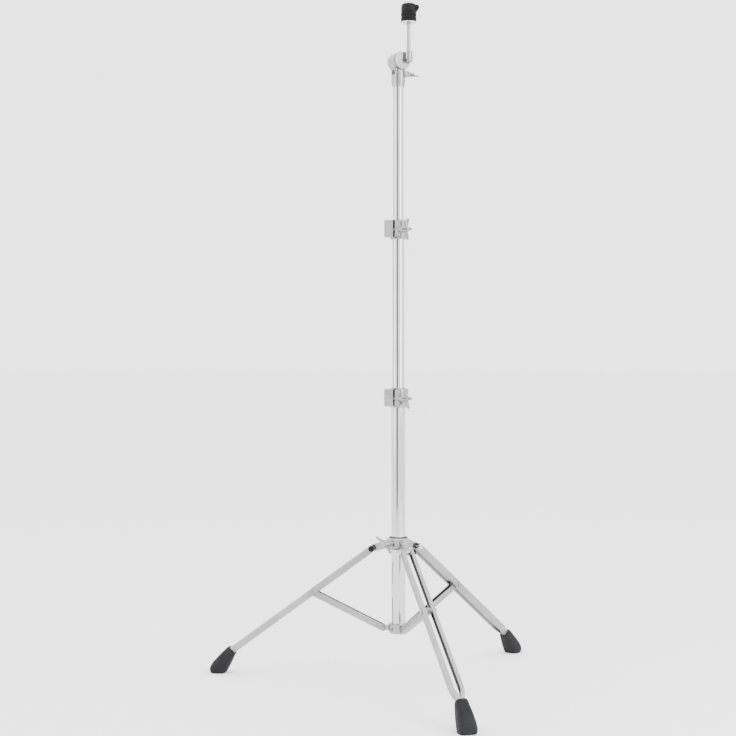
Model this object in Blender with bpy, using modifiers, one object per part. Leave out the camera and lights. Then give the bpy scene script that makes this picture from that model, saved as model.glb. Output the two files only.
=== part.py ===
"""Straight cymbal stand on a double-braced folding tripod.

Metres, +Z up. The front leg points to -Y and the origin is on the floor, at the middle of the
footprint. Every moving piece hangs on an empty that lies on the axis of its joint. Three
telescoping tubes are held by two clamps, and a brake-drum tilter on top carries the cymbal rod.
"""

import math

import bmesh
import bpy
from mathutils import Matrix, Vector

# Clearances
SEAT_GAP = 0.0003
PIVOT_GAP = 0.0003
SLIDE_GAP = 0.0003
STRUT_SIDE_GAP = 0.0004

# Telescoping tubes
BASE_TUBE_RADIUS = 0.0143
MID_TUBE_RADIUS = 0.0127
TOP_TUBE_RADIUS = 0.0111
TUBE_WALL = 0.0012
BASE_TUBE_BOTTOM = 0.0995
BASE_CLAMP_TOP = 0.5995
MID_TUBE_SHOWING = 0.3425
TOP_TUBE_SHOWING = 0.3238
TUBE_OVERLAP = 0.170

# Fold linkage, as radius and height of its three pivots in a leg's own plane
HUB_PIVOT_RADIUS = 0.0535
HUB_PIVOT_HEIGHT = 0.272
STRUT_JOINT_RADIUS = 0.1818
STRUT_JOINT_HEIGHT = 0.177
COLLAR_PIVOT_RADIUS = 0.032
COLLAR_PIVOT_HEIGHT = 0.110
LEG_AZIMUTHS = {"a": -90.0, "b": 30.0, "c": 150.0}

# Legs: two channels side by side, open towards each other
BAR_PITCH = 0.0196
BAR_WIDTH = 0.0076
BAR_HEIGHT = 0.014
BAR_WALL = 0.0014
BAR_EDGE_RADIUS = 0.0024
LEG_END_HEIGHT = 0.0333
JOGGLE_LENGTH = 0.024
JOGGLE_STEPS = 8
PIVOT_SHANK_RADIUS = 0.003
PIVOT_HEAD_RADIUS = 0.006
PIVOT_HEAD_THICKNESS = 0.0034
CAP_RADIUS = 0.0062
CAP_THICKNESS = 0.0052

# Braces: one channel each
BRACE_HEIGHT = 0.0135
BRACE_WALL = 0.0014
LUG_SIDE_GAP = 0.0004

# Rubber boots, as distance from the mouth, width and thickness
BOOT_INSERT = 0.026
BOOT_ANGLE = math.radians(54.0)
BOOT_RISE = 0.0018
BOOT_SECTIONS = (
    (-0.0005, 0.0185, 0.0172),
    (0.0012, 0.0222, 0.0206),
    (0.0040, 0.0240, 0.0224),
    (0.0150, 0.0272, 0.0260),
    (0.0300, 0.0318, 0.0312),
    (0.0460, 0.0346, 0.0346),
    (0.0560, 0.0350, 0.0338),
    (0.0620, 0.0322, 0.0290),
    (0.0655, 0.0270, 0.0205),
)
BOOT_SQUARENESS = 3.2

# Sliding hub
HUB_RISE = 0.0015
HUB_RING_HEIGHT = 0.0215
HUB_RING_RADIUS = 0.0218
HUB_BUSH_WALL = 0.0026
HUB_LIP_RADIUS = 0.0190
HUB_LIP_HEIGHT = 0.0014
HUB_EAR_RADIUS = 0.0072
LOCK_AZIMUTH = -150.0
LOCK_BOSS_RADIUS = 0.0075
LOCK_BOSS_REACH = 0.031
LOCK_SHANK_RADIUS = 0.0034
LOCK_TWIST = 53.0

# Lower collar
COLLAR_RING_RADIUS = 0.0205
COLLAR_RING_BOTTOM = 0.1015
COLLAR_RING_HEIGHT = 0.0190
COLLAR_LUG_RADIUS = 0.0050

# Height clamps
CLAMP_AZIMUTH = -36.8
CLAMP_HEIGHT = 0.039
CLAMP_WALL = 0.0036
CLAMP_GRIP = 0.013
CLAMP_SLIT = (-0.0020, 0.0025)
CLAMP_LUG_END = -0.0215
CLAMP_EAR_END = 0.0105
CLAMP_LUG_FRONT = -0.0285
CLAMP_BOLT_OFFSET = -0.0220
CLAMP_BOLT_HEIGHT = 0.0185
CLAMP_BOLT_RADIUS = 0.003
CLAMP_BOLT_HEX = 0.0055
CLAMP_BOLT_HEAD = 0.004
CLAMP_BOLT_END = 0.0355
WING_SEAT = 0.0148
BASE_CLAMP_WING_TWIST = 18.0
MID_CLAMP_WING_TWIST = -4.0

# Tilter, about the axis of its brake drum
TILTER_AZIMUTH = 14.2
TILTER_COLLAR_RADIUS = 0.0186
TILTER_COLLAR_BACK = 0.0125
TILTER_COLLAR_FRONT = -0.0130
DRUM_RADIUS = 0.0137
DRUM_FLANGE_RADIUS = 0.0178
DRUM_FLANGE_THICKNESS = 0.0038
ROD_OFFSET = 0.0112
ROD_BOSS_RADIUS = 0.0081
ROD_BOSS_TOP = 0.0185
ROD_BOSS_BOTTOM = -0.0030
RETAINER_THICKNESS = 0.0026
NECK_RADIUS = 0.0146
NECK_STRAIGHT_BOTTOM = -0.0385
NECK_BOTTOM = -0.0510
TILTER_BOLT_DROP = 0.0235
TILTER_BOLT_SETBACK = -0.0030
TILTER_BOLT_HEX = 0.0048
TILTER_BOSS_RADIUS = 0.0072
TILTER_BOSS_LEFT = -0.0132
TILTER_BOSS_RIGHT = 0.0172
TILTER_SLIT = (0.0034, 0.0060)
TILTER_WING_SEAT = 0.0192
TILTER_WING_TWIST = -72.0

# Cymbal rod and seat, as heights above the tilter's pivot
ROD_RADIUS = 0.004
ROD_TIP_RADIUS = 0.003
SEAT_HEIGHT = 0.0767
STACK_TOP = 0.1137
CUP_RADIUS = 0.0162
CUP_THICKNESS = 0.0014
FELT_RADIUS = 0.0160
LOWER_FELT_HEIGHT = 0.0100
UPPER_FELT_HEIGHT = 0.0090
SLEEVE_RADIUS = 0.0046
NUT_RADIUS = 0.0156
NUT_TAB_REACH = 0.0215
NUT_TAB_WIDTH = 0.013
NUT_TAB_AZIMUTH = -31.0
BUTTON_RADIUS = 0.0100
BUTTON_HEIGHT = 0.0062

ROUND_STEPS = 32
SMALL_STEPS = 16

# Sizes that follow from those above
LEG_RUN = STRUT_JOINT_RADIUS - HUB_PIVOT_RADIUS
LEG_FALL = HUB_PIVOT_HEIGHT - STRUT_JOINT_HEIGHT
LEG_ANGLE = math.atan2(LEG_FALL, LEG_RUN)
LEG_TO_STRUT = math.hypot(LEG_RUN, LEG_FALL)
LEG_LENGTH = (HUB_PIVOT_HEIGHT - LEG_END_HEIGHT) / math.sin(LEG_ANGLE)
BRACE_RUN = STRUT_JOINT_RADIUS - COLLAR_PIVOT_RADIUS
BRACE_RISE = STRUT_JOINT_HEIGHT - COLLAR_PIVOT_HEIGHT
BRACE_ANGLE = math.atan2(BRACE_RISE, BRACE_RUN)
BRACE_LENGTH = math.hypot(BRACE_RUN, BRACE_RISE)
LEG_GAP = BAR_PITCH - BAR_WIDTH
LEG_OUTER = (BAR_PITCH + BAR_WIDTH) / 2
BRACE_WIDTH = LEG_GAP - 2 * STRUT_SIDE_GAP
LUG_WIDTH = BRACE_WIDTH - 2 * BRACE_WALL - 2 * LUG_SIDE_GAP
PIVOT_HOLE_RADIUS = PIVOT_SHANK_RADIUS + PIVOT_GAP
BASE_CLAMP_BOTTOM = BASE_CLAMP_TOP - CLAMP_HEIGHT
MID_CLAMP_TOP = BASE_CLAMP_TOP + MID_TUBE_SHOWING
MID_CLAMP_BOTTOM = MID_CLAMP_TOP - CLAMP_HEIGHT
TILTER_HEIGHT = MID_CLAMP_TOP + TOP_TUBE_SHOWING
ROD_AXIS_Y = TILTER_COLLAR_FRONT - SEAT_GAP - ROD_BOSS_RADIUS


def clear_scene():
    for obj in list(bpy.data.objects):
        bpy.data.objects.remove(obj, do_unlink=True)


def new_collection(name):
    collection = bpy.data.collections.new(name)
    bpy.context.scene.collection.children.link(collection)
    return collection


clear_scene()
PARTS = new_collection("cymbal_stand")
CUTTERS = new_collection("cymbal_stand_cutters")


def new_material(name, colour, metallic, roughness):
    material = bpy.data.materials.new(name)
    material.use_nodes = True
    shader = material.node_tree.nodes["Principled BSDF"]
    shader.inputs["Base Color"].default_value = (*colour, 1.0)
    shader.inputs["Metallic"].default_value = metallic
    shader.inputs["Roughness"].default_value = roughness
    material.diffuse_color = (*colour, 1.0)
    return material


CHROME = new_material("chrome", (0.78, 0.78, 0.79), 1.0, 0.08)
PLATED_STEEL = new_material("plated_steel", (0.62, 0.62, 0.63), 1.0, 0.22)
NYLON = new_material("black_nylon", (0.02, 0.02, 0.02), 0.0, 0.45)
RUBBER = new_material("black_rubber", (0.03, 0.03, 0.032), 0.0, 0.70)
FELT = new_material("black_felt", (0.015, 0.015, 0.016), 0.0, 0.95)


def empty(name, parent=None, location=(0, 0, 0), turn=0.0):
    """An axis marker, turned about Z by degrees."""
    marker = bpy.data.objects.new(name, None)
    marker.empty_display_size = 0.02
    marker.parent = parent
    marker.location = location
    marker.rotation_euler = (0, 0, math.radians(turn))
    PARTS.objects.link(marker)
    return marker


def object_from(name, mesh, collection=CUTTERS):
    obj = bpy.data.objects.new(name, mesh)
    collection.objects.link(obj)
    if collection is CUTTERS:
        obj.hide_render = True
        obj.display_type = "WIRE"
    return obj


def put(obj, parent, location=(0, 0, 0)):
    obj.parent = parent
    obj.location = location
    return obj


def mesh_from(name, bm):
    bmesh.ops.recalc_face_normals(bm, faces=bm.faces)
    mesh = bpy.data.meshes.new(name)
    bm.to_mesh(mesh)
    bm.free()
    return mesh


def evaluated_mesh(obj):
    """The object's shape with its modifiers applied, as a mesh whose caps are welded."""
    bpy.context.view_layer.update()
    graph = bpy.context.evaluated_depsgraph_get()
    mesh = bpy.data.meshes.new_from_object(obj.evaluated_get(graph))
    bm = bmesh.new()
    bm.from_mesh(mesh)
    bmesh.ops.remove_doubles(bm, verts=bm.verts, dist=1e-6)
    bm.to_mesh(mesh)
    bm.free()
    return mesh


def settled(name, obj):
    """Replaces an object by a new one that holds its evaluated mesh, and drops its helpers."""
    mesh = evaluated_mesh(obj)
    helpers = [m.object for m in obj.modifiers if m.type == "BOOLEAN"]
    for helper in helpers:
        bpy.data.objects.remove(helper, do_unlink=True)
    bpy.data.objects.remove(obj, do_unlink=True)
    return object_from(name, mesh)


def finished(obj, name, parent, material, location=(0, 0, 0)):
    """Makes a shape one of the stand's pieces."""
    if obj.name in CUTTERS.objects:
        CUTTERS.objects.unlink(obj)
        PARTS.objects.link(obj)
    obj.name = name
    obj.hide_render = False
    obj.display_type = "TEXTURED"
    obj.data.materials.clear()
    obj.data.materials.append(material)
    obj.data.shade_smooth()
    obj.data.set_sharp_from_angle(angle=math.radians(32))
    return put(obj, parent, location)


def boolean(obj, other, operation):
    modifier = obj.modifiers.new(operation.lower(), "BOOLEAN")
    modifier.operation = operation
    modifier.object = other
    other.parent = obj
    return obj


def cut(obj, *cutters):
    for cutter in cutters:
        boolean(obj, cutter, "DIFFERENCE")
    return obj


def join(obj, *others):
    for other in others:
        boolean(obj, other, "UNION")
    return obj


def moved(obj, matrix):
    obj.data.transform(matrix)
    return obj


def turned(name, profile, steps=ROUND_STEPS):
    """A profile of (radius, height), outer side top to bottom, turned about Z.

    A profile that starts off the axis is a closed loop and makes a ring.
    """
    mesh = bpy.data.meshes.new(name)
    edges = [(i, i + 1) for i in range(len(profile) - 1)]
    if profile[0][0] > 0:
        edges.append((len(profile) - 1, 0))
    mesh.from_pydata([(r, 0, z) for r, z in profile], edges, [])
    obj = object_from(name, mesh)
    screw = obj.modifiers.new("turn", "SCREW")
    screw.axis = "Z"
    screw.steps = steps
    screw.render_steps = steps
    screw.use_merge_vertices = True
    screw.merge_threshold = 1e-5
    return settled(name, obj)


def ring(name, inner, outer, bottom, top, steps=ROUND_STEPS, edge=0.0):
    """A plain ring, or a disc where inner is 0, with its two outer corners broken by edge."""
    if edge:
        corners = [(outer - edge, top), (outer, top - edge), (outer, bottom + edge), (outer - edge, bottom)]
    else:
        corners = [(outer, top), (outer, bottom)]
    return turned(name, [(inner, top), *corners, (inner, bottom)], steps)


def cylinder(name, radius, start, end, axis="Z", steps=SMALL_STEPS, centre=(0, 0)):
    """A cylinder from start to end along an axis, with its centre given on the other two axes."""
    bm = bmesh.new()
    bmesh.ops.create_cone(
        bm, cap_ends=True, segments=steps, radius1=radius, radius2=radius, depth=abs(end - start)
    )
    middle = (start + end) / 2
    if axis == "X":
        place = Matrix.Translation((middle, *centre)) @ Matrix.Rotation(math.pi / 2, 4, "Y")
    elif axis == "Y":
        place = Matrix.Translation((centre[0], middle, centre[1])) @ Matrix.Rotation(math.pi / 2, 4, "X")
    else:
        place = Matrix.Translation((*centre, middle))
    bmesh.ops.transform(bm, matrix=place, verts=bm.verts)
    return object_from(name, mesh_from(name, bm))


def box(name, low, high, edge=0.0):
    """A box between two corners, with rounded edges where edge is given."""
    bm = bmesh.new()
    bmesh.ops.create_cube(bm, size=1.0)
    sides = [b - a for a, b in zip(low, high)]
    centre = [(a + b) / 2 for a, b in zip(low, high)]
    place = Matrix.Translation(centre) @ Matrix.Diagonal((*sides, 1.0))
    bmesh.ops.transform(bm, matrix=place, verts=bm.verts)
    obj = object_from(name, mesh_from(name, bm))
    if edge:
        bevel = obj.modifiers.new("edges", "BEVEL")
        bevel.width = edge
        bevel.segments = 2
        obj = settled(name, obj)
    return obj


def tapered_slot(first, first_radius, second, second_radius, steps=6):
    """The outline round two circles and their common tangents."""
    run = Vector(second) - Vector(first)
    heading = math.atan2(run.y, run.x)
    open_angle = math.acos((first_radius - second_radius) / run.length)
    points = []
    for centre, radius, start, end in (
        (second, second_radius, -open_angle, open_angle),
        (first, first_radius, open_angle, 2 * math.pi - open_angle),
    ):
        for i in range(steps + 1):
            angle = heading + start + (end - start) * i / steps
            points.append((centre[0] + radius * math.cos(angle), centre[1] + radius * math.sin(angle)))
    return points


def plate(name, outline, thickness, edge=0.0):
    """An outline of (x, z), standing in the XZ plane, with its thickness along Y."""
    curve = bpy.data.curves.new(name, "CURVE")
    curve.dimensions = "2D"
    curve.fill_mode = "BOTH"
    curve.extrude = thickness / 2 - edge
    if edge:
        curve.bevel_depth = edge
        curve.bevel_resolution = 1
        curve.offset = -edge
    spline = curve.splines.new("POLY")
    spline.points.add(len(outline) - 1)
    for point, (x, z) in zip(spline.points, outline):
        point.co = (x, z, 0, 1)
    spline.use_cyclic_u = True
    obj = object_from(name, curve)
    mesh = evaluated_mesh(obj)
    bpy.data.objects.remove(obj, do_unlink=True)
    mesh.transform(Matrix.Rotation(math.pi / 2, 4, "X"))
    return object_from(name, mesh)


def swept(name, section, path):
    """A section of (side, up) carried along a flat path of (x, y), with side to the left of it."""
    profile = bpy.data.curves.new(name + "_section", "CURVE")
    profile.dimensions = "2D"
    profile.fill_mode = "NONE"
    outline = profile.splines.new("POLY")
    outline.points.add(len(section) - 1)
    for point, (side, up) in zip(outline.points, section):
        point.co = (-side, up, 0, 1)
    outline.use_cyclic_u = True
    profile_object = object_from(name + "_section", profile)
    curve = bpy.data.curves.new(name, "CURVE")
    curve.dimensions = "2D"
    curve.fill_mode = "NONE"
    curve.bevel_mode = "OBJECT"
    curve.bevel_object = profile_object
    curve.use_fill_caps = True
    spline = curve.splines.new("POLY")
    spline.points.add(len(path) - 1)
    for point, (x, y) in zip(spline.points, path):
        point.co = (x, y, 0, 1)
    obj = object_from(name, curve)
    mesh = evaluated_mesh(obj)
    bpy.data.objects.remove(obj, do_unlink=True)
    bpy.data.objects.remove(profile_object, do_unlink=True)
    bm = bmesh.new()
    bm.from_mesh(mesh)
    bmesh.ops.recalc_face_normals(bm, faces=bm.faces)
    bm.to_mesh(mesh)
    bm.free()
    return object_from(name, mesh)


def channel_section(width, height, wall, edge, open_side):
    """A C section about its middle, open towards +side (1) or -side (-1), outer corners rounded."""
    points = [(width / 2, height / 2)]
    for centre_up, start in ((height / 2 - edge, 90), (edge - height / 2, 180)):
        for i in range(4):
            angle = math.radians(start + 30 * i)
            points.append((edge - width / 2 + edge * math.cos(angle), centre_up + edge * math.sin(angle)))
    points += [
        (width / 2, -height / 2),
        (width / 2, wall - height / 2),
        (wall - width / 2, wall - height / 2),
        (wall - width / 2, height / 2 - wall),
        (width / 2, height / 2 - wall),
    ]
    return [(open_side * side, up) for side, up in points]


def hex_prism(name, flat_radius, start, end, centre):
    return cylinder(name, flat_radius / math.cos(math.pi / 6), start, end, "X", 6, centre)


# Wing heads


def wing_head(name, bore, bore_depth, span, hub_radius, hub_length, twist):
    """A wing nut along +X from its seat at x = 0. Its wings are turned about X by degrees."""
    hub = turned(
        name,
        [
            (0, hub_length),
            (hub_radius * 0.55, hub_length),
            (hub_radius * 0.74, hub_length - 0.0012),
            (hub_radius * 0.86, hub_length * 0.45),
            (hub_radius, hub_length * 0.16),
            (hub_radius, 0),
            (0, 0),
        ],
        20,
    )
    moved(hub, Matrix.Rotation(math.pi / 2, 4, "Y"))
    tip = 0.0034
    for side in (1, -1):
        outline = tapered_slot(
            (hub_length * 0.45, side * hub_radius * 0.35),
            0.0052,
            (hub_length * 0.80, side * (span / 2 - tip)),
            tip,
        )
        if side < 0:
            outline.reverse()
        join(hub, plate(f"{name}_wing_{side}", outline, 0.0034, 0.0008))
    if bore:
        cut(hub, cylinder(name + "_bore", bore, -0.002, bore_depth, "X"))
    head = settled(name, hub)
    return moved(head, Matrix.Rotation(math.radians(twist), 4, "X"))


# Tubes


def make_tube(name, radius, bottom, top, parent):
    tube = ring(name, radius - TUBE_WALL, radius, bottom, top, ROUND_STEPS, 0.0004)
    return finished(tube, name, parent, CHROME)


# Height clamps


def make_clamp(prefix, parent, outer_radius, inner_radius, bottom, wing_twist, bolt_parent):
    """The clamp that holds an inner tube at the top of an outer one, with its liner, bolt and wing nut."""
    axis = empty(prefix + "_clamp_axis", parent, (0, 0, bottom), CLAMP_AZIMUTH)
    bore = outer_radius + SEAT_GAP
    body = ring(prefix, 0, bore + CLAMP_WALL, 0, CLAMP_HEIGHT, ROUND_STEPS, 0.0010)
    back = -(bore + 0.5 * CLAMP_WALL) * 0.55
    lug = box(prefix + "_lug", (CLAMP_LUG_END, CLAMP_LUG_FRONT, 0.003), (0, back, CLAMP_HEIGHT - 0.001), 0.0016)
    ear = box(prefix + "_ear", (0, CLAMP_LUG_FRONT, 0.004), (CLAMP_EAR_END, back, CLAMP_HEIGHT - 0.002), 0.0016)
    bolt_centre = (CLAMP_BOLT_OFFSET, CLAMP_BOLT_HEIGHT)
    boss = cylinder(prefix + "_boss", 0.0058, 0.004, WING_SEAT - SEAT_GAP, "X", SMALL_STEPS, bolt_centre)
    join(body, lug, ear, boss)
    tall = CLAMP_HEIGHT + 0.01
    cut(
        body,
        cylinder(prefix + "_bore", bore, -0.01, tall, "Z", ROUND_STEPS),
        box(prefix + "_slit", (CLAMP_SLIT[0], -0.05, -0.01), (CLAMP_SLIT[1], -0.005, tall)),
        cylinder(prefix + "_hole", CLAMP_BOLT_RADIUS + PIVOT_GAP, -0.05, 0.05, "X", SMALL_STEPS, bolt_centre),
        hex_prism(
            prefix + "_recess",
            CLAMP_BOLT_HEX + PIVOT_GAP,
            CLAMP_LUG_END - 0.01,
            CLAMP_LUG_END + CLAMP_BOLT_HEAD,
            bolt_centre,
        ),
    )
    finished(body, prefix + "_clamp", axis, CHROME)

    head_start = CLAMP_LUG_END + SEAT_GAP
    bolt = hex_prism(prefix + "_bolt", CLAMP_BOLT_HEX, head_start, CLAMP_LUG_END + CLAMP_BOLT_HEAD - SEAT_GAP, (0, 0))
    join(bolt, cylinder(prefix + "_shank", CLAMP_BOLT_RADIUS, head_start + 0.001, CLAMP_BOLT_END, "X"))
    finished(bolt, prefix + "_clamp_bolt", axis, PLATED_STEEL, (0, *bolt_centre))

    wing_axis = empty(prefix + "_wing_axis", axis, (WING_SEAT, *bolt_centre))
    wing = wing_head(prefix + "_wing", CLAMP_BOLT_RADIUS + PIVOT_GAP, 0.05, 0.044, 0.0066, 0.0150, wing_twist)
    finished(wing, prefix + "_clamp_wing_nut", wing_axis, CHROME)

    bush_axis = empty(prefix + "_bush_axis", bolt_parent, (0, 0, bottom + CLAMP_GRIP + SEAT_GAP))
    bush_height = CLAMP_HEIGHT - CLAMP_GRIP - SEAT_GAP + 0.0008
    bush = ring(prefix + "_bush", inner_radius + SLIDE_GAP, outer_radius, 0, bush_height)
    slit_turn = math.radians(CLAMP_AZIMUTH)
    slit = box(prefix + "_bush_slit", (-0.0010, -0.03, -0.01), (0.0010, 0, tall))
    cut(bush, moved(slit, Matrix.Rotation(slit_turn, 4, "Z")))
    finished(bush, prefix + "_clamp_bush", bush_axis, NYLON)
    return bush_axis


# Tripod


def bar_path(side):
    """The bar's middle line in its leg's own plane: straight, then drawn in to meet the other bar."""
    wide = side * BAR_PITCH / 2
    narrow = side * (BAR_WIDTH + SEAT_GAP) / 2
    start = LEG_LENGTH - BOOT_INSERT - JOGGLE_LENGTH
    points = [(-BAR_HEIGHT, wide)]
    for i in range(JOGGLE_STEPS + 1):
        share = i / JOGGLE_STEPS
        ease = share * share * (3 - 2 * share)
        points.append((start + JOGGLE_LENGTH * share, wide + (narrow - wide) * ease))
    points.append((LEG_LENGTH + 0.001, narrow))
    return points


def bar_side_outline():
    """The bar seen from the side: round at the pivot, cut on a slant inside the boot."""
    half = BAR_HEIGHT / 2
    arc = [math.radians(90 + 30 * i) for i in range(7)]
    points = [(half * math.cos(a), half * math.sin(a)) for a in arc]
    over = 0.001
    points[0] = (0, half + over)
    points[-1] = (0, -half - over)
    points.insert(1, (0, half))
    points.insert(-1, (0, -half))
    slant = LEG_LENGTH - BOOT_INSERT + 0.002
    return points + [(LEG_LENGTH, -half - over), (LEG_LENGTH, -0.001), (slant, half), (slant - 0.002, half + over)]


def make_bar(name, side):
    """One channel of a leg, along +X from the hub pivot. side is 1 for the +Y bar."""
    section = channel_section(BAR_WIDTH, BAR_HEIGHT, BAR_WALL, BAR_EDGE_RADIUS, -side)
    bar = swept(name, section, bar_path(side))
    boolean(bar, plate(name + "_side", bar_side_outline(), 0.06), "INTERSECT")
    foot_rivet_x = LEG_LENGTH - 0.5 * BOOT_INSERT
    for i, (x, z) in enumerate(((0, 0), (LEG_TO_STRUT, 0), (foot_rivet_x, -0.0025))):
        cut(bar, cylinder(f"{name}_hole_{i}", PIVOT_HOLE_RADIUS, -0.03, 0.03, "Y", SMALL_STEPS, (x, z)))
    return settled(name, bar)


def boot_loft(name):
    """The boot about the leg's own axes: square-shouldered sections, cut off flat at the floor."""
    lean = BOOT_ANGLE - LEG_ANGLE
    along = Vector((math.cos(lean), 0, -math.sin(lean)))
    across = Vector((math.sin(lean), 0, math.cos(lean)))
    mouth = Vector((LEG_LENGTH - BOOT_INSERT, 0, 0)) + across * BOOT_RISE
    bm = bmesh.new()
    loops = []
    count = 24
    for distance, width, thickness in BOOT_SECTIONS:
        loop = []
        for i in range(count):
            angle = 2 * math.pi * i / count
            c, s = math.cos(angle), math.sin(angle)
            size = (abs(c) ** BOOT_SQUARENESS + abs(s) ** BOOT_SQUARENESS) ** (-1 / BOOT_SQUARENESS)
            point = mouth + along * distance + across * (s * size * thickness / 2)
            loop.append(bm.verts.new(point + Vector((0, c * size * width / 2, 0))))
        loops.append(loop)
    for first, second in zip(loops, loops[1:]):
        for i in range(count):
            bm.faces.new((first[i], first[(i + 1) % count], second[(i + 1) % count], second[i]))
    bm.faces.new(loops[0])
    bm.faces.new(list(reversed(loops[-1])))
    down = Vector((math.sin(LEG_ANGLE), 0, -math.cos(LEG_ANGLE)))
    floor_point = down * HUB_PIVOT_HEIGHT
    geometry = bm.verts[:] + bm.edges[:] + bm.faces[:]
    sliced = bmesh.ops.bisect_plane(
        bm, geom=geometry, plane_co=floor_point, plane_no=down, clear_outer=True, dist=1e-6
    )
    rim = [e for e in sliced["geom_cut"] if isinstance(e, bmesh.types.BMEdge)]
    bmesh.ops.contextual_create(bm, geom=rim)
    return object_from(name, mesh_from(name, bm))


def make_boot(name):
    boot = boot_loft(name)
    half_width = BAR_WIDTH + 1.5 * SEAT_GAP
    half_height = BAR_HEIGHT / 2 + SEAT_GAP
    socket_outline = [
        (LEG_LENGTH - BOOT_INSERT - 0.02, -half_height),
        (LEG_LENGTH + SEAT_GAP, -half_height),
        (LEG_LENGTH + SEAT_GAP, SEAT_GAP),
        (LEG_LENGTH - BOOT_INSERT + 0.002 + SEAT_GAP, half_height),
        (LEG_LENGTH - BOOT_INSERT - 0.02, half_height),
    ]
    cut(boot, plate(name + "_socket", socket_outline, 2 * half_width))
    return settled(name, boot)


def headed_pin(name, head_radius, head_thickness, shank_radius, length, head_y, toward):
    """A domed head whose flat face is at head_y, and a shank that runs from it along Y."""
    profile = [
        (0, head_thickness),
        (head_radius * 0.55, head_thickness * 0.92),
        (head_radius * 0.85, head_thickness * 0.62),
        (head_radius, head_thickness * 0.2),
        (head_radius, 0),
        (shank_radius, 0),
        (shank_radius, -length),
        (0, -length),
    ]
    pin = turned(name, profile, SMALL_STEPS)
    if toward > 0:
        turn = Matrix.Rotation(math.pi / 2, 4, "X")
    else:
        turn = Matrix.Rotation(-math.pi / 2, 4, "X")
    return moved(pin, Matrix.Translation((0, head_y, 0)) @ turn)


def cap_nut(name):
    depth = CAP_THICKNESS - 0.0016
    profile = [
        (0, CAP_THICKNESS),
        (CAP_RADIUS * 0.62, CAP_THICKNESS),
        (CAP_RADIUS * 0.92, CAP_THICKNESS * 0.78),
        (CAP_RADIUS, CAP_THICKNESS * 0.45),
        (CAP_RADIUS, 0),
        (PIVOT_HOLE_RADIUS, 0),
        (PIVOT_HOLE_RADIUS, depth),
        (0, depth),
    ]
    cap = turned(name, profile, SMALL_STEPS)
    turn = Matrix.Rotation(-math.pi / 2, 4, "X")
    return moved(cap, Matrix.Translation((0, LEG_OUTER + SEAT_GAP, 0)) @ turn)


def make_brace(name):
    """A channel along +X from the collar pivot, open upwards, so that it folds over its lug."""
    section = channel_section(BRACE_HEIGHT, BRACE_WIDTH, BRACE_WALL, 0.0020, 1)
    half = BRACE_HEIGHT / 2
    path = [(-BRACE_HEIGHT, 0), (BRACE_LENGTH + BRACE_HEIGHT, 0)]
    brace = swept(name, section, path)
    moved(brace, Matrix.Rotation(math.pi / 2, 4, "X"))
    outline = tapered_slot((0, 0), half, (BRACE_LENGTH, 0), half - 1e-6, 8)
    boolean(brace, plate(name + "_side", outline, 0.05), "INTERSECT")
    cut(brace, cylinder(name + "_hole", PIVOT_HOLE_RADIUS, -0.02, 0.02, "Y"))
    return settled(name, brace)


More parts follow.
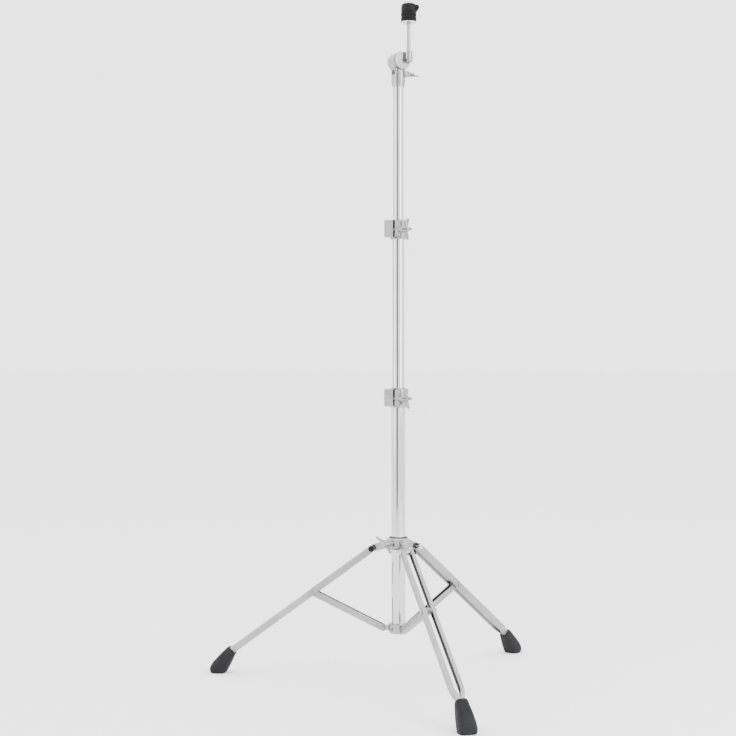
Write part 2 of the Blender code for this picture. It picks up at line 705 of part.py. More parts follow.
def make_hub(parent):
    """The sliding hub: a ring with three ears and a boss for its wing bolt."""
    bottom = HUB_RISE
    top = HUB_RISE + HUB_RING_HEIGHT
    bore = BASE_TUBE_RADIUS + SLIDE_GAP + HUB_BUSH_WALL + SEAT_GAP
    hub = ring("hub", 0, HUB_RING_RADIUS, bottom, top, ROUND_STEPS, 0.0016)
    ear_root = (HUB_RING_RADIUS - 0.0045, (bottom + top) / 2 - 0.0005)
    for leg, azimuth in LEG_AZIMUTHS.items():
        outline = tapered_slot(ear_root, HUB_RING_HEIGHT / 2 - 0.0018, (HUB_PIVOT_RADIUS, 0), HUB_EAR_RADIUS, 8)
        ear = plate("hub_ear_" + leg, outline, BRACE_WIDTH, 0.0010)
        join(hub, moved(ear, Matrix.Rotation(math.radians(azimuth), 4, "Z")))
    middle = (bottom + top) / 2
    lock_turn = Matrix.Rotation(math.radians(LOCK_AZIMUTH), 4, "Z")
    boss = cylinder("hub_boss", LOCK_BOSS_RADIUS, 0.010, LOCK_BOSS_REACH, "X", 20, (0, middle))
    join(hub, moved(boss, lock_turn))
    cut(hub, cylinder("hub_bore", bore, -0.02, 0.05, "Z", ROUND_STEPS))
    threads = cylinder("hub_lock_hole", LOCK_SHANK_RADIUS + PIVOT_GAP, 0.01, 0.05, "X", SMALL_STEPS, (0, middle))
    cut(hub, moved(threads, lock_turn))
    for leg, azimuth in LEG_AZIMUTHS.items():
        hole = cylinder("hub_hole_" + leg, PIVOT_HOLE_RADIUS, -0.02, 0.02, "Y", SMALL_STEPS, (HUB_PIVOT_RADIUS, 0))
        cut(hub, moved(hole, Matrix.Rotation(math.radians(azimuth), 4, "Z")))
    finished(hub, "leg_hub", parent, CHROME)

    inner = BASE_TUBE_RADIUS + SLIDE_GAP
    sleeve = inner + HUB_BUSH_WALL
    low, high = bottom - SEAT_GAP, top + SEAT_GAP
    profile = [
        (inner, high + HUB_LIP_HEIGHT),
        (HUB_LIP_RADIUS, high + HUB_LIP_HEIGHT),
        (HUB_LIP_RADIUS, high),
        (sleeve, high),
        (sleeve, low),
        (HUB_LIP_RADIUS, low),
        (HUB_LIP_RADIUS, low - HUB_LIP_HEIGHT),
        (inner, low - HUB_LIP_HEIGHT),
    ]
    bush = turned("hub_bush", profile)
    window = cylinder("hub_bush_hole", LOCK_SHANK_RADIUS + PIVOT_GAP, 0.005, 0.03, "X", SMALL_STEPS, (0, middle))
    cut(bush, moved(window, lock_turn), box("hub_bush_slit", (-0.001, 0, -0.02), (0.001, 0.03, 0.05)))
    finished(bush, "leg_hub_bush", parent, NYLON)

    lock_axis = empty("hub_lock_axis", parent, (0, 0, middle), LOCK_AZIMUTH)
    wing = wing_head("lock", 0, 0, 0.050, 0.0072, 0.0165, LOCK_TWIST)
    moved(wing, Matrix.Translation((LOCK_BOSS_REACH + SEAT_GAP, 0, 0)))
    shank_end = LOCK_BOSS_REACH + 0.002
    join(wing, cylinder("lock_shank", LOCK_SHANK_RADIUS, BASE_TUBE_RADIUS + SEAT_GAP, shank_end, "X"))
    finished(wing, "leg_hub_wing_bolt", lock_axis, CHROME)


def make_collar(stand):
    """The ring at the foot of the base tube, with a lug for each brace."""
    bore = BASE_TUBE_RADIUS + SEAT_GAP
    top = COLLAR_RING_BOTTOM + COLLAR_RING_HEIGHT
    collar = ring("collar", 0, COLLAR_RING_RADIUS, COLLAR_RING_BOTTOM, top, ROUND_STEPS, 0.0014)
    pivot = (COLLAR_PIVOT_RADIUS, COLLAR_PIVOT_HEIGHT)
    root = (COLLAR_RING_RADIUS - 0.003, COLLAR_PIVOT_HEIGHT + 0.001)
    for leg, azimuth in LEG_AZIMUTHS.items():
        outline = tapered_slot(root, COLLAR_LUG_RADIUS + 0.0002, pivot, COLLAR_LUG_RADIUS, 8)
        lug = plate("collar_lug_" + leg, outline, LUG_WIDTH, 0.0008)
        join(collar, moved(lug, Matrix.Rotation(math.radians(azimuth), 4, "Z")))
    cut(collar, cylinder("collar_bore", bore, 0.05, 0.2, "Z", ROUND_STEPS))
    for leg, azimuth in LEG_AZIMUTHS.items():
        hole = cylinder("collar_hole_" + leg, PIVOT_HOLE_RADIUS, -0.02, 0.02, "Y", SMALL_STEPS, pivot)
        cut(collar, moved(hole, Matrix.Rotation(math.radians(azimuth), 4, "Z")))
    screw_height = COLLAR_RING_BOTTOM + 0.45 * COLLAR_RING_HEIGHT
    lock_turn = Matrix.Rotation(math.radians(LOCK_AZIMUTH), 4, "Z")
    seat = cylinder("collar_screw_hole", 0.0036, 0.005, 0.04, "X", SMALL_STEPS, (0, screw_height))
    cut(collar, moved(seat, lock_turn))
    finished(collar, "lower_collar", stand, CHROME)

    screw = cylinder("collar_screw", 0.0033, BASE_TUBE_RADIUS + SEAT_GAP, COLLAR_RING_RADIUS + 0.0014, "X")
    cut(screw, hex_prism("collar_screw_hex", 0.0017, COLLAR_RING_RADIUS - 0.001, COLLAR_RING_RADIUS + 0.01, (0, 0)))
    screw_axis = empty("collar_screw_axis", stand, (0, 0, screw_height), LOCK_AZIMUTH)
    finished(screw, "lower_collar_screw", screw_axis, PLATED_STEEL)


def make_legs(stand, hub_axis):
    """Three legs and three braces. Each kind of piece shares one mesh."""
    shapes = {
        "bar_left": make_bar("bar_left", 1),
        "bar_right": make_bar("bar_right", -1),
        "boot": make_boot("boot"),
        "brace": make_brace("brace"),
        "bolt": headed_pin(
            "bolt",
            PIVOT_HEAD_RADIUS,
            PIVOT_HEAD_THICKNESS,
            PIVOT_SHANK_RADIUS,
            2 * LEG_OUTER + 2 * SEAT_GAP + CAP_THICKNESS - 0.0022,
            -LEG_OUTER - SEAT_GAP,
            1,
        ),
        "cap": cap_nut("cap"),
        "foot_rivet": cylinder("foot_rivet", PIVOT_SHANK_RADIUS, -BAR_WIDTH, BAR_WIDTH, "Y"),
        "brace_rivet": headed_pin(
            "brace_rivet", 0.0052, 0.0022, PIVOT_SHANK_RADIUS, BRACE_WIDTH + 0.002, BRACE_WIDTH / 2 + SEAT_GAP, -1
        ),
    }
    strut_length = LEG_OUTER - BRACE_WIDTH / 2
    for side, toward in (("left", -1), ("right", 1)):
        seat = -toward * (LEG_OUTER + SEAT_GAP)
        shapes["strut_" + side] = headed_pin(
            "strut_" + side, 0.0056, 0.0026, PIVOT_SHANK_RADIUS, strut_length, seat, toward
        )
    for leg, azimuth in LEG_AZIMUTHS.items():
        turn = math.radians(azimuth)
        radial = Vector((math.cos(turn), math.sin(turn), 0))
        leg_axis = empty(f"leg_{leg}_axis", hub_axis, radial * HUB_PIVOT_RADIUS)
        leg_axis.rotation_euler = (0, LEG_ANGLE, turn)
        leg_axis.rotation_mode = "XYZ"
        brace_axis = empty(f"brace_{leg}_axis", stand, radial * COLLAR_PIVOT_RADIUS + Vector((0, 0, COLLAR_PIVOT_HEIGHT)))
        brace_axis.rotation_euler = (0, -BRACE_ANGLE, turn)
        bolt_axis = empty(f"leg_{leg}_bolt_axis", hub_axis, radial * HUB_PIVOT_RADIUS, azimuth)
        rivet_axis = empty(f"brace_{leg}_rivet_axis", stand, brace_axis.location, azimuth)
        pieces = (
            ("bar_left", f"leg_{leg}_bar_left", leg_axis, (0, 0, 0), PLATED_STEEL),
            ("bar_right", f"leg_{leg}_bar_right", leg_axis, (0, 0, 0), PLATED_STEEL),
            ("boot", f"foot_{leg}", leg_axis, (0, 0, 0), RUBBER),
            ("foot_rivet", f"foot_rivet_{leg}", leg_axis, (LEG_LENGTH - 0.5 * BOOT_INSERT, 0, -0.0025), PLATED_STEEL),
            ("strut_left", f"strut_rivet_{leg}_left", leg_axis, (LEG_TO_STRUT, 0, 0), PLATED_STEEL),
            ("strut_right", f"strut_rivet_{leg}_right", leg_axis, (LEG_TO_STRUT, 0, 0), PLATED_STEEL),
            ("bolt", f"leg_bolt_{leg}", bolt_axis, (0, 0, 0), CHROME),
            ("cap", f"leg_bolt_cap_{leg}", bolt_axis, (0, 0, 0), NYLON),
            ("brace", f"brace_{leg}", brace_axis, (0, 0, 0), PLATED_STEEL),
            ("brace_rivet", f"brace_rivet_{leg}", rivet_axis, (0, 0, 0), PLATED_STEEL),
        )
        for shape, name, parent, location, material in pieces:
            piece = object_from(name, shapes[shape].data)
            finished(piece, name, parent, material, location)
    for shape in shapes.values():
        bpy.data.objects.remove(shape, do_unlink=True)


# Tilter


def make_tilter(stand_axis):
    """The split collar on the top tube, its bolt and wing nut, and the drum that it squeezes."""
    front, back = TILTER_COLLAR_FRONT, TILTER_COLLAR_BACK
    socket = TOP_TUBE_RADIUS + SEAT_GAP
    body = turned(
        "tilter",
        [
            (0, -0.012),
            (NECK_RADIUS - 0.002, -0.012),
            (NECK_RADIUS, -0.018),
            (NECK_RADIUS, NECK_STRAIGHT_BOTTOM),
            (socket + 0.0012, NECK_BOTTOM),
            (0, NECK_BOTTOM),
        ],
    )
    for name, low, high in (("front", -0.03, front + 0.0002), ("back", back - 0.0002, 0.03)):
        cut(body, box("tilter_trim_" + name, (-0.03, low, -0.0215), (0.03, high, 0.0)))
    collar = cylinder("tilter_collar", TILTER_COLLAR_RADIUS, front, back, "Y", 40)
    bolt_centre = (TILTER_BOLT_SETBACK, -TILTER_BOLT_DROP)
    boss = cylinder("tilter_boss", TILTER_BOSS_RADIUS, TILTER_BOSS_LEFT, TILTER_BOSS_RIGHT, "X", 20, bolt_centre)
    join(body, collar, boss)
    tube_top = -TILTER_BOLT_DROP - TILTER_BOLT_HEX / math.cos(math.pi / 6) - 0.0010
    cut(
        body,
        cylinder("tilter_drum_bore", DRUM_RADIUS + SLIDE_GAP, -0.05, 0.05, "Y", 40),
        cylinder("tilter_socket", socket, NECK_BOTTOM - 0.01, tube_top, "Z", ROUND_STEPS),
        box("tilter_slit", (TILTER_SLIT[0], -0.05, NECK_STRAIGHT_BOTTOM + 0.002), (TILTER_SLIT[1], 0.05, -0.008)),
        cylinder("tilter_bolt_hole", CLAMP_BOLT_RADIUS + PIVOT_GAP, -0.05, 0.05, "X", SMALL_STEPS, bolt_centre),
        hex_prism(
            "tilter_recess",
            TILTER_BOLT_HEX + PIVOT_GAP,
            TILTER_BOSS_LEFT - 0.01,
            TILTER_BOSS_LEFT + 0.0045,
            bolt_centre,
        ),
    )
    finished(body, "tilter_body", stand_axis, CHROME)

    head_start = TILTER_BOSS_LEFT + 0.0015
    bolt = hex_prism("tilter_hex", TILTER_BOLT_HEX, head_start, TILTER_BOSS_LEFT + 0.0045 - SEAT_GAP, (0, 0))
    join(bolt, cylinder("tilter_shank", CLAMP_BOLT_RADIUS, head_start + 0.0006, TILTER_WING_SEAT + 0.0120, "X"))
    cut(bolt, hex_prism("tilter_key", 0.0022, head_start - 0.01, head_start + 0.0022, (0, 0)))
    finished(bolt, "tilter_bolt", stand_axis, PLATED_STEEL, (0, *bolt_centre))

    wing_axis = empty("tilter_wing_axis", stand_axis, (TILTER_WING_SEAT, *bolt_centre))
    wing = wing_head("tilter_wing", CLAMP_BOLT_RADIUS + PIVOT_GAP, 0.0135, 0.046, 0.0062, 0.0160, TILTER_WING_TWIST)
    finished(wing, "tilter_wing_nut", wing_axis, CHROME)
    return tube_top


def make_drum(drum_axis):
    """The brake drum, turned by the joint: flange, spigot and the boss that grips the rod."""
    face = TILTER_COLLAR_FRONT - SEAT_GAP - DRUM_FLANGE_THICKNESS
    back = TILTER_COLLAR_BACK
    drum = cylinder("drum", DRUM_RADIUS, face + 0.001, back, "Y", 40)
    flange = cylinder("drum_flange", DRUM_FLANGE_RADIUS, face, face + DRUM_FLANGE_THICKNESS, "Y", 40)
    bevel = flange.modifiers.new("edges", "BEVEL")
    bevel.width = 0.0008
    bevel.segments = 2
    flange = settled("drum_flange", flange)
    boss = ring("drum_boss", 0, ROD_BOSS_RADIUS, ROD_BOSS_BOTTOM, ROD_BOSS_TOP, 24, 0.0016)
    moved(boss, Matrix.Translation((ROD_OFFSET, ROD_AXIS_Y, 0)))
    join(drum, flange, boss)
    cut(
        drum,
        cylinder("drum_rod_hole", ROD_RADIUS + SEAT_GAP, -0.002, 0.05, "Z", SMALL_STEPS, (ROD_OFFSET, ROD_AXIS_Y)),
        cylinder("drum_screw_hole", 0.0033, -0.05, 0.05, "Y"),
        cylinder("drum_head_recess", 0.0048, face - 0.02, face + 0.0022, "Y"),
    )
    finished(drum, "tilter_drum", drum_axis, CHROME)

    head_start = face + 0.0004
    screw = cylinder("drum_screw", 0.0045, head_start, face + 0.0022 - SEAT_GAP, "Y")
    end = back + SEAT_GAP + RETAINER_THICKNESS + 0.0008
    join(screw, cylinder("drum_shank", 0.003, head_start + 0.0005, end, "Y"))
    key = hex_prism("drum_key", 0.0025, -0.01, 0.0012, (0, 0))
    moved(key, Matrix.Translation((0, head_start, 0)) @ Matrix.Rotation(math.pi / 2, 4, "Z"))
    cut(screw, key)
    finished(screw, "tilter_screw", drum_axis, PLATED_STEEL)

    washer = ring("retainer", 0.0033, 0.0152, 0, RETAINER_THICKNESS, 28, 0.0008)
    moved(washer, Matrix.Translation((0, back + SEAT_GAP, 0)) @ Matrix.Rotation(-math.pi / 2, 4, "X"))
    finished(washer, "tilter_retainer", drum_axis, CHROME)


def make_rod_and_seat(drum_axis):
    """The rod, the cup washer, felts and sleeve on it, and the quick-release nut."""
    rod_axis = empty("rod_axis", drum_axis, (ROD_OFFSET, ROD_AXIS_Y, 0))
    cup_top = SEAT_HEIGHT + CUP_THICKNESS
    rod_top = STACK_TOP - 0.004
    rod = turned(
        "rod",
        [
            (0, rod_top),
            (ROD_TIP_RADIUS - 0.0005, rod_top),
            (ROD_TIP_RADIUS, rod_top - 0.0006),
            (ROD_TIP_RADIUS, SEAT_HEIGHT - SEAT_GAP),
            (ROD_RADIUS, SEAT_HEIGHT - SEAT_GAP),
            (ROD_RADIUS, -0.002 + SEAT_GAP),
            (0, -0.002 + SEAT_GAP),
        ],
        SMALL_STEPS,
    )
    finished(rod, "tilter_rod", rod_axis, CHROME)

    tip_clear = ROD_TIP_RADIUS + SEAT_GAP
    cup = turned(
        "cup",
        [
            (tip_clear, cup_top),
            (CUP_RADIUS - 0.0010, cup_top),
            (CUP_RADIUS, cup_top - 0.0006),
            (CUP_RADIUS - 0.0006, SEAT_HEIGHT),
            (tip_clear, SEAT_HEIGHT),
        ],
    )
    finished(cup, "cup_washer", rod_axis, CHROME)

    lower_bottom = cup_top + SEAT_GAP
    lower_top = lower_bottom + LOWER_FELT_HEIGHT
    upper_bottom = lower_top + SEAT_GAP
    upper_top = upper_bottom + UPPER_FELT_HEIGHT
    nut_bottom = upper_top + SEAT_GAP
    sleeve = ring("sleeve", tip_clear, SLEEVE_RADIUS, lower_bottom, upper_top - 0.001, SMALL_STEPS)
    finished(sleeve, "rod_sleeve", rod_axis, NYLON)
    for name, bottom, top in (("lower_felt", lower_bottom, lower_top), ("upper_felt", upper_bottom, upper_top)):
        felt = ring(name, SLEEVE_RADIUS + SEAT_GAP, FELT_RADIUS, bottom, top, 28, 0.0009)
        finished(felt, name, rod_axis, FELT)

    nut_axis = empty("top_nut_axis", rod_axis, (0, 0, nut_bottom))
    height = STACK_TOP - nut_bottom
    nut = turned(
        "nut",
        [
            (0, height),
            (NUT_RADIUS - 0.0022, height),
            (NUT_RADIUS - 0.0006, height - 0.0012),
            (NUT_RADIUS, height * 0.55),
            (NUT_RADIUS, 0.0008),
            (NUT_RADIUS - 0.0008, 0),
            (0, 0),
        ],
    )
    tab_outline = [
        (NUT_RADIUS - 0.006, height - 0.0010),
        (NUT_TAB_REACH - 0.0030, height - 0.0014),
        (NUT_TAB_REACH - 0.0008, height - 0.0034),
        (NUT_TAB_REACH, height * 0.58),
        (NUT_TAB_REACH - 0.0010, height * 0.42),
        (NUT_RADIUS + 0.0002, height * 0.02 + 0.0004),
        (NUT_RADIUS - 0.006, height * 0.02 + 0.0004),
    ]
    tab_outline.reverse()
    tab = plate("nut_tab", tab_outline, NUT_TAB_WIDTH, 0.0010)
    join(nut, moved(tab, Matrix.Rotation(math.radians(NUT_TAB_AZIMUTH), 4, "Z")))
    cut(nut, cylinder("nut_bore", tip_clear, -0.01, height - 0.0030, "Z"))
    finished(nut, "top_nut", nut_axis, NYLON)
    button = turned(
        "button",
        [
            (0, BUTTON_HEIGHT),
            (BUTTON_RADIUS * 0.55, BUTTON_HEIGHT * 0.95),
            (BUTTON_RADIUS * 0.88, BUTTON_HEIGHT * 0.72),
            (BUTTON_RADIUS, BUTTON_HEIGHT * 0.35),
            (BUTTON_RADIUS, 0),
            (0, 0),
        ],
        24,
    )
    finished(button, "top_nut_button", nut_axis, CHROME, (0, 0, height + SEAT_GAP))


def stand_on_origin(stand, feet):
    """Moves the whole stand so that the middle of its footprint is the origin."""
    bpy.context.view_layer.update()
    corners = [foot.matrix_world @ vertex.co for foot in feet for vertex in foot.data.vertices]
    for axis in (0, 1):
        values = [corner[axis] for corner in corners]
        stand.location[axis] = -(min(values) + max(values)) / 2
    bpy.context.view_layer.update()


def main():
    stand = empty("stand")
    hub_axis = empty("hub_axis", stand, (0, 0, HUB_PIVOT_HEIGHT))
    make_hub(hub_axis)
    make_collar(stand)
    make_legs(stand, hub_axis)

    base_grip_top = BASE_CLAMP_BOTTOM + CLAMP_GRIP
    make_tube("base_tube", BASE_TUBE_RADIUS, BASE_TUBE_BOTTOM, base_grip_top, stand)
    base_bush = make_clamp(
        "base", stand, BASE_TUBE_RADIUS, MID_TUBE_RADIUS, BASE_CLAMP_BOTTOM, BASE_CLAMP_WING_TWIST, stand
    )
    mid_axis = empty("mid_tube_axis", base_bush, (0, 0, -base_bush.location.z))
    mid_grip_top = MID_CLAMP_BOTTOM + CLAMP_GRIP
    make_tube("mid_tube", MID_TUBE_RADIUS, BASE_CLAMP_TOP - TUBE_OVERLAP, mid_grip_top, mid_axis)
    mid_bush = make_clamp(
        "mid", mid_axis, MID_TUBE_RADIUS, TOP_TUBE_RADIUS, MID_CLAMP_BOTTOM, MID_CLAMP_WING_TWIST, mid_axis
    )
    top_axis = empty("top_tube_axis", mid_bush, (0, 0, -mid_bush.location.z))
    tilter_axis = empty("tilter_axis", top_axis, (0, 0, TILTER_HEIGHT), TILTER_AZIMUTH)
    tube_top = make_tilter(tilter_axis)
    top_tube_end = TILTER_HEIGHT + tube_top - SEAT_GAP
    make_tube("top_tube", TOP_TUBE_RADIUS, MID_CLAMP_TOP - TUBE_OVERLAP, top_tube_end, top_axis)
    drum_axis = empty("drum_axis", tilter_axis)
    make_drum(drum_axis)
    make_rod_and_seat(drum_axis)

    stand_on_origin(stand, [bpy.data.objects["foot_" + leg] for leg in LEG_AZIMUTHS])


main()
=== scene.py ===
"""Looks of the cymbal stand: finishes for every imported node, cloth-like felts, the studio and camera.

Metres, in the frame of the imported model.
"""

import math
import random

import bmesh
import bpy
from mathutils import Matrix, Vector


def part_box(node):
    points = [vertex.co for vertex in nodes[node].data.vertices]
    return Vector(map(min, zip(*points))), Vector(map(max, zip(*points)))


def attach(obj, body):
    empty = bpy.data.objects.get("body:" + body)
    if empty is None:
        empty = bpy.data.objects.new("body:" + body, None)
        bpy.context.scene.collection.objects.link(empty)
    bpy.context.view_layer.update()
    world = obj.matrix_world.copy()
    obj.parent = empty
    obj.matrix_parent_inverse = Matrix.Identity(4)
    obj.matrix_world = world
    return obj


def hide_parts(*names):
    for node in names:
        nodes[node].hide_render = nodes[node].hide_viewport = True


# Camera, measured from the photograph
CAMERA_AZIMUTH = math.radians(-16.8)
CAMERA_DISTANCE = 2.648
CAMERA_HEIGHT = 0.641
CAMERA_LEFT = 0.062
FOCAL_LENGTH_MM = 63.44

# Felt washers
FELT_TURNS = 64
FELT_ROUGH = 0.00012
FELT_RIM = 0.0012
FELT_BULGE_POWER = 0.35
FELT_SIDE_STEPS = 10
FELT_DIP = 0.0001
SEED = 7

# Studio
FLOOR_SIZE = 900
FLOOR_DROP = 0.0005
WORLD_STRENGTH = 3.2

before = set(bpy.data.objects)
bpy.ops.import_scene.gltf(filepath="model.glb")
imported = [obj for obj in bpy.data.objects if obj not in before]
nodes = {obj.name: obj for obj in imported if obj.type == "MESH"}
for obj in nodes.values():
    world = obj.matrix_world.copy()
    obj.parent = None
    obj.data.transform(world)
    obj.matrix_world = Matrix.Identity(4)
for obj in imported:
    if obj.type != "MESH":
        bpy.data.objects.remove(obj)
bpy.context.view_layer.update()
random.seed(SEED)


# Materials


class Surface:
    """A Principled material with the noise, colour and bump nodes that the finishes share."""

    def __init__(self, name):
        self.material = bpy.data.materials.new(name)
        self.material.use_nodes = True
        self.tree = self.material.node_tree
        self.shader = self.tree.nodes["Principled BSDF"]
        self.place = self.tree.nodes.new("ShaderNodeTexCoord").outputs["Object"]

    def link(self, output, target):
        self.tree.links.new(output, target)

    def noise(self, scale, detail=4.0, stretch=(1, 1, 1), roughness=0.55):
        mapping = self.tree.nodes.new("ShaderNodeMapping")
        mapping.inputs["Scale"].default_value = stretch
        self.link(self.place, mapping.inputs["Vector"])
        noise = self.tree.nodes.new("ShaderNodeTexNoise")
        noise.inputs["Scale"].default_value = scale
        noise.inputs["Detail"].default_value = detail
        noise.inputs["Roughness"].default_value = roughness
        self.link(mapping.outputs["Vector"], noise.inputs["Vector"])
        return noise.outputs["Fac"]

    def ranged(self, value, low, high, start=0.3, end=0.7):
        node = self.tree.nodes.new("ShaderNodeMapRange")
        node.inputs["From Min"].default_value = start
        node.inputs["From Max"].default_value = end
        node.inputs["To Min"].default_value = low
        node.inputs["To Max"].default_value = high
        self.link(value, node.inputs["Value"])
        return node.outputs["Result"]

    def colour(self, value, dark, light):
        ramp = self.tree.nodes.new("ShaderNodeValToRGB")
        ramp.color_ramp.elements[0].position = 0.3
        ramp.color_ramp.elements[0].color = (*dark, 1)
        ramp.color_ramp.elements[1].position = 0.7
        ramp.color_ramp.elements[1].color = (*light, 1)
        self.link(value, ramp.inputs["Fac"])
        self.link(ramp.outputs["Color"], self.shader.inputs["Base Color"])

    def roughness(self, value, low, high):
        self.link(self.ranged(value, low, high), self.shader.inputs["Roughness"])

    def bump(self, value, strength, distance):
        node = self.tree.nodes.new("ShaderNodeBump")
        node.inputs["Strength"].default_value = strength
        node.inputs["Distance"].default_value = distance
        self.link(value, node.inputs["Height"])
        self.link(node.outputs["Normal"], self.shader.inputs["Normal"])


def metal(name, dark, light, rough, grain_scale, grain_stretch, grain_strength):
    """Plated metal: cloudy colour, smears in its gloss, and a fine directional grain."""
    surface = Surface(name)
    surface.shader.inputs["Metallic"].default_value = 1.0
    surface.colour(surface.noise(18, 3), dark, light)
    surface.roughness(surface.noise(55, 5), *rough)
    surface.bump(surface.noise(grain_scale, 3, grain_stretch), grain_strength, 0.0002)
    return surface.material


def moulded(name, dark, light, rough, grain_scale, grain_strength):
    """Moulded rubber or nylon with a fine pebbled skin."""
    surface = Surface(name)
    surface.shader.inputs["Specular IOR Level"].default_value = 0.12
    surface.colour(surface.noise(30, 4), dark, light)
    surface.roughness(surface.noise(90, 4), *rough)
    surface.bump(surface.noise(grain_scale, 2), grain_strength, 0.0003)
    return surface.material


def felted(name):
    """Pressed wool: matted fibres, a soft sheen and specks of lighter hair."""
    surface = Surface(name)
    surface.shader.inputs["Roughness"].default_value = 0.97
    surface.shader.inputs["Sheen Weight"].default_value = 0.05
    surface.shader.inputs["Specular IOR Level"].default_value = 0.15
    fibres = surface.noise(900, 6, (1, 1, 0.45), 0.7)
    surface.colour(fibres, (0.002, 0.002, 0.002), (0.008, 0.008, 0.009))
    surface.bump(fibres, 0.7, 0.0005)
    return surface.material


CHROME = metal(
    "chrome_tube", (0.50, 0.50, 0.505), (0.58, 0.58, 0.585), (0.04, 0.08), 900, (1, 1, 0.02), 0.004
)
CAST_CHROME = metal(
    "chrome_casting", (0.24, 0.24, 0.245), (0.36, 0.36, 0.365), (0.14, 0.24), 320, (1, 1, 1), 0.03
)
BAR_STEEL = metal(
    "plated_bar", (0.26, 0.26, 0.265), (0.34, 0.34, 0.345), (0.32, 0.44), 420, (1, 1, 0.6), 0.06
)
FASTENER = metal(
    "plated_fastener", (0.22, 0.22, 0.225), (0.34, 0.34, 0.345), (0.20, 0.34), 500, (1, 1, 1), 0.08
)
NYLON = moulded(
    "black_nylon", (0.010, 0.010, 0.011), (0.022, 0.022, 0.023), (0.35, 0.50), 700, 0.10
)
CAP_NYLON = moulded(
    "nut_nylon", (0.003, 0.003, 0.003), (0.008, 0.008, 0.009), (0.40, 0.52), 500, 0.12
)
RUBBER = moulded(
    "boot_rubber", (0.009, 0.009, 0.010), (0.017, 0.017, 0.018), (0.55, 0.72), 480, 0.25
)
FELT = felted("wool_felt")

FINISHES = (
    (("base_tube", "mid_tube", "top_tube", "cup_washer", "top_nut_button"), CHROME),
    (("lower_collar", "leg_hub", "base_clamp", "mid_clamp", "tilter_body", "tilter_drum"), CAST_CHROME),
    (("tilter_retainer", "leg_hub_wing_bolt", "base_clamp_wing_nut"), CAST_CHROME),
    (("mid_clamp_wing_nut", "tilter_wing_nut"), CAST_CHROME),
    (("leg_hub_bush", "base_clamp_bush", "mid_clamp_bush", "rod_sleeve"), NYLON),
    (("top_nut",), CAP_NYLON),
    (("lower_collar_screw", "base_clamp_bolt", "mid_clamp_bolt"), FASTENER),
    (("tilter_bolt", "tilter_screw", "tilter_rod"), FASTENER),
)


def finish_of(name):
    for names, material in FINISHES:
        if name in names:
            return material
    if name.startswith("leg_bolt_cap"):
        return CAP_NYLON
    if name.startswith("leg_bolt"):
        return CHROME
    if "rivet" in name:
        return FASTENER
    if name.startswith(("leg_", "brace_")):
        return BAR_STEEL
    if name in ("foot_a", "foot_b", "foot_c"):
        return RUBBER
    return FELT


for node_name, node in nodes.items():
    node.data.materials.clear()
    node.data.materials.append(finish_of(node_name))


# Felts


def felt_washer(node_name):
    """A pressed felt washer in place of the plain one: soft rims, a crowned side and an uneven skin."""
    low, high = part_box(node_name)
    centre = (low + high) / 2
    outer = (high.x - low.x) / 2
    points = [v.co for v in nodes[node_name].data.vertices]
    bore = min(math.hypot(point.x - centre.x, point.y - centre.y) for point in points)
    rim = outer - FELT_RIM
    profile = [(bore, low.z), (rim, low.z)]
    for i in range(1, FELT_SIDE_STEPS):
        share = i / FELT_SIDE_STEPS
        bulge = math.sin(math.pi * share) ** FELT_BULGE_POWER
        profile.append((rim + FELT_RIM * bulge, low.z + (high.z - low.z) * share))
    profile += [(rim, high.z), ((outer + bore) / 2, high.z - FELT_DIP), (bore, high.z)]
    bm = bmesh.new()
    rings = []
    for turn in range(FELT_TURNS):
        angle = 2 * math.pi * turn / FELT_TURNS
        loop = []
        for i, (radius, z) in enumerate(profile):
            if 0 < i < len(profile) - 1:
                radius -= random.uniform(0, FELT_ROUGH)
            x = centre.x + radius * math.cos(angle)
            y = centre.y + radius * math.sin(angle)
            loop.append(bm.verts.new((x, y, z)))
        rings.append(loop)
    for turn in range(FELT_TURNS):
        first, second = rings[turn], rings[(turn + 1) % FELT_TURNS]
        for i in range(len(profile)):
            j = (i + 1) % len(profile)
            bm.faces.new((first[i], second[i], second[j], first[j]))
    bmesh.ops.recalc_face_normals(bm, faces=bm.faces)
    mesh = bpy.data.meshes.new(node_name + "_cloth")
    bm.to_mesh(mesh)
    bm.free()
    washer = bpy.data.objects.new(node_name + "_cloth", mesh)
    bpy.context.scene.collection.objects.link(washer)
    mesh.materials.append(FELT)
    mesh.shade_smooth()
    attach(washer, "drum")
    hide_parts(node_name)


felt_washer("lower_felt")
felt_washer("upper_felt")


# Studio


def plane(name, size, location, rotation, colour):
    half = size[0] / 2, size[1] / 2
    mesh = bpy.data.meshes.new(name)
    mesh.from_pydata(
        [(-half[0], -half[1], 0), (half[0], -half[1], 0), (half[0], half[1], 0), (-half[0], half[1], 0)],
        [],
        [(0, 1, 2, 3)],
    )
    obj = bpy.data.objects.new(name, mesh)
    obj.location = location
    obj.rotation_euler = rotation
    material = bpy.data.materials.new(name)
    material.use_nodes = True
    shader = material.node_tree.nodes["Principled BSDF"]
    shader.inputs["Base Color"].default_value = (*colour, 1)
    shader.inputs["Roughness"].default_value = 0.9
    mesh.materials.append(material)
    bpy.context.scene.collection.objects.link(obj)
    return obj


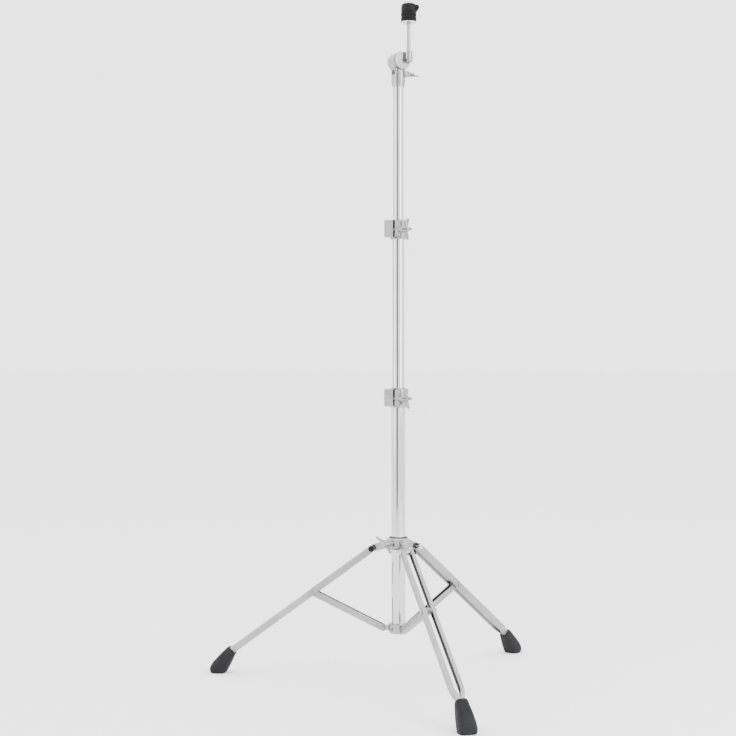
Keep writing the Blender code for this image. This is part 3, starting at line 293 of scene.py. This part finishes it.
def soft_light(name, location, target, size, power):
    data = bpy.data.lights.new(name, "AREA")
    data.shape = "RECTANGLE"
    data.size, data.size_y = size
    data.energy = power
    light = bpy.data.objects.new(name, data)
    light.location = location
    light.rotation_mode = "QUATERNION"
    light.rotation_quaternion = (Vector(target) - Vector(location)).to_track_quat("-Z", "Y")
    bpy.context.scene.collection.objects.link(light)


column = (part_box("base_tube")[0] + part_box("base_tube")[1]) / 2
toward_camera = Vector((math.sin(CAMERA_AZIMUTH), -math.cos(CAMERA_AZIMUTH), 0))
to_right = Vector((math.cos(CAMERA_AZIMUTH), math.sin(CAMERA_AZIMUTH), 0))
foot_of_column = Vector((column.x, column.y, 0))


def studio_point(right, near, up):
    return foot_of_column + to_right * right + toward_camera * near + Vector((0, 0, up))


plane("floor", (FLOOR_SIZE, FLOOR_SIZE), (0, 0, -FLOOR_DROP), (0, 0, 0), (0.93, 0.93, 0.93))
# The tubes mirror this dark card as the thin dark line left of their middle
flag_place = studio_point(-1.2, 3.1, 1.2)
plane("dark_flag", (0.9, 5.0), flag_place, (math.pi / 2, 0, CAMERA_AZIMUTH), (0.01, 0.01, 0.01))
middle = studio_point(0, 0, 0.7)
soft_light("key_right", studio_point(2.2, 2.0, 1.6), middle, (1.4, 2.4), 60)
soft_light("fill_left", studio_point(-2.8, 1.2, 1.5), middle, (1.6, 2.6), 28)
soft_light("top", studio_point(0, 0.4, 3.2), middle, (2.4, 2.4), 30)

world = bpy.data.worlds.new("studio")
bpy.context.scene.world = world
world.use_nodes = True
world.node_tree.nodes["Background"].inputs["Color"].default_value = (1.0, 1.0, 1.0, 1)
world.node_tree.nodes["Background"].inputs["Strength"].default_value = WORLD_STRENGTH

camera_data = bpy.data.cameras.new("camera")
camera_data.lens = FOCAL_LENGTH_MM
camera_data.sensor_width = 36
camera = bpy.data.objects.new("camera", camera_data)
camera.location = studio_point(-CAMERA_LEFT, CAMERA_DISTANCE, CAMERA_HEIGHT)
camera.rotation_euler = (math.pi / 2, 0, CAMERA_AZIMUTH)
bpy.context.scene.collection.objects.link(camera)
bpy.context.scene.camera = camera
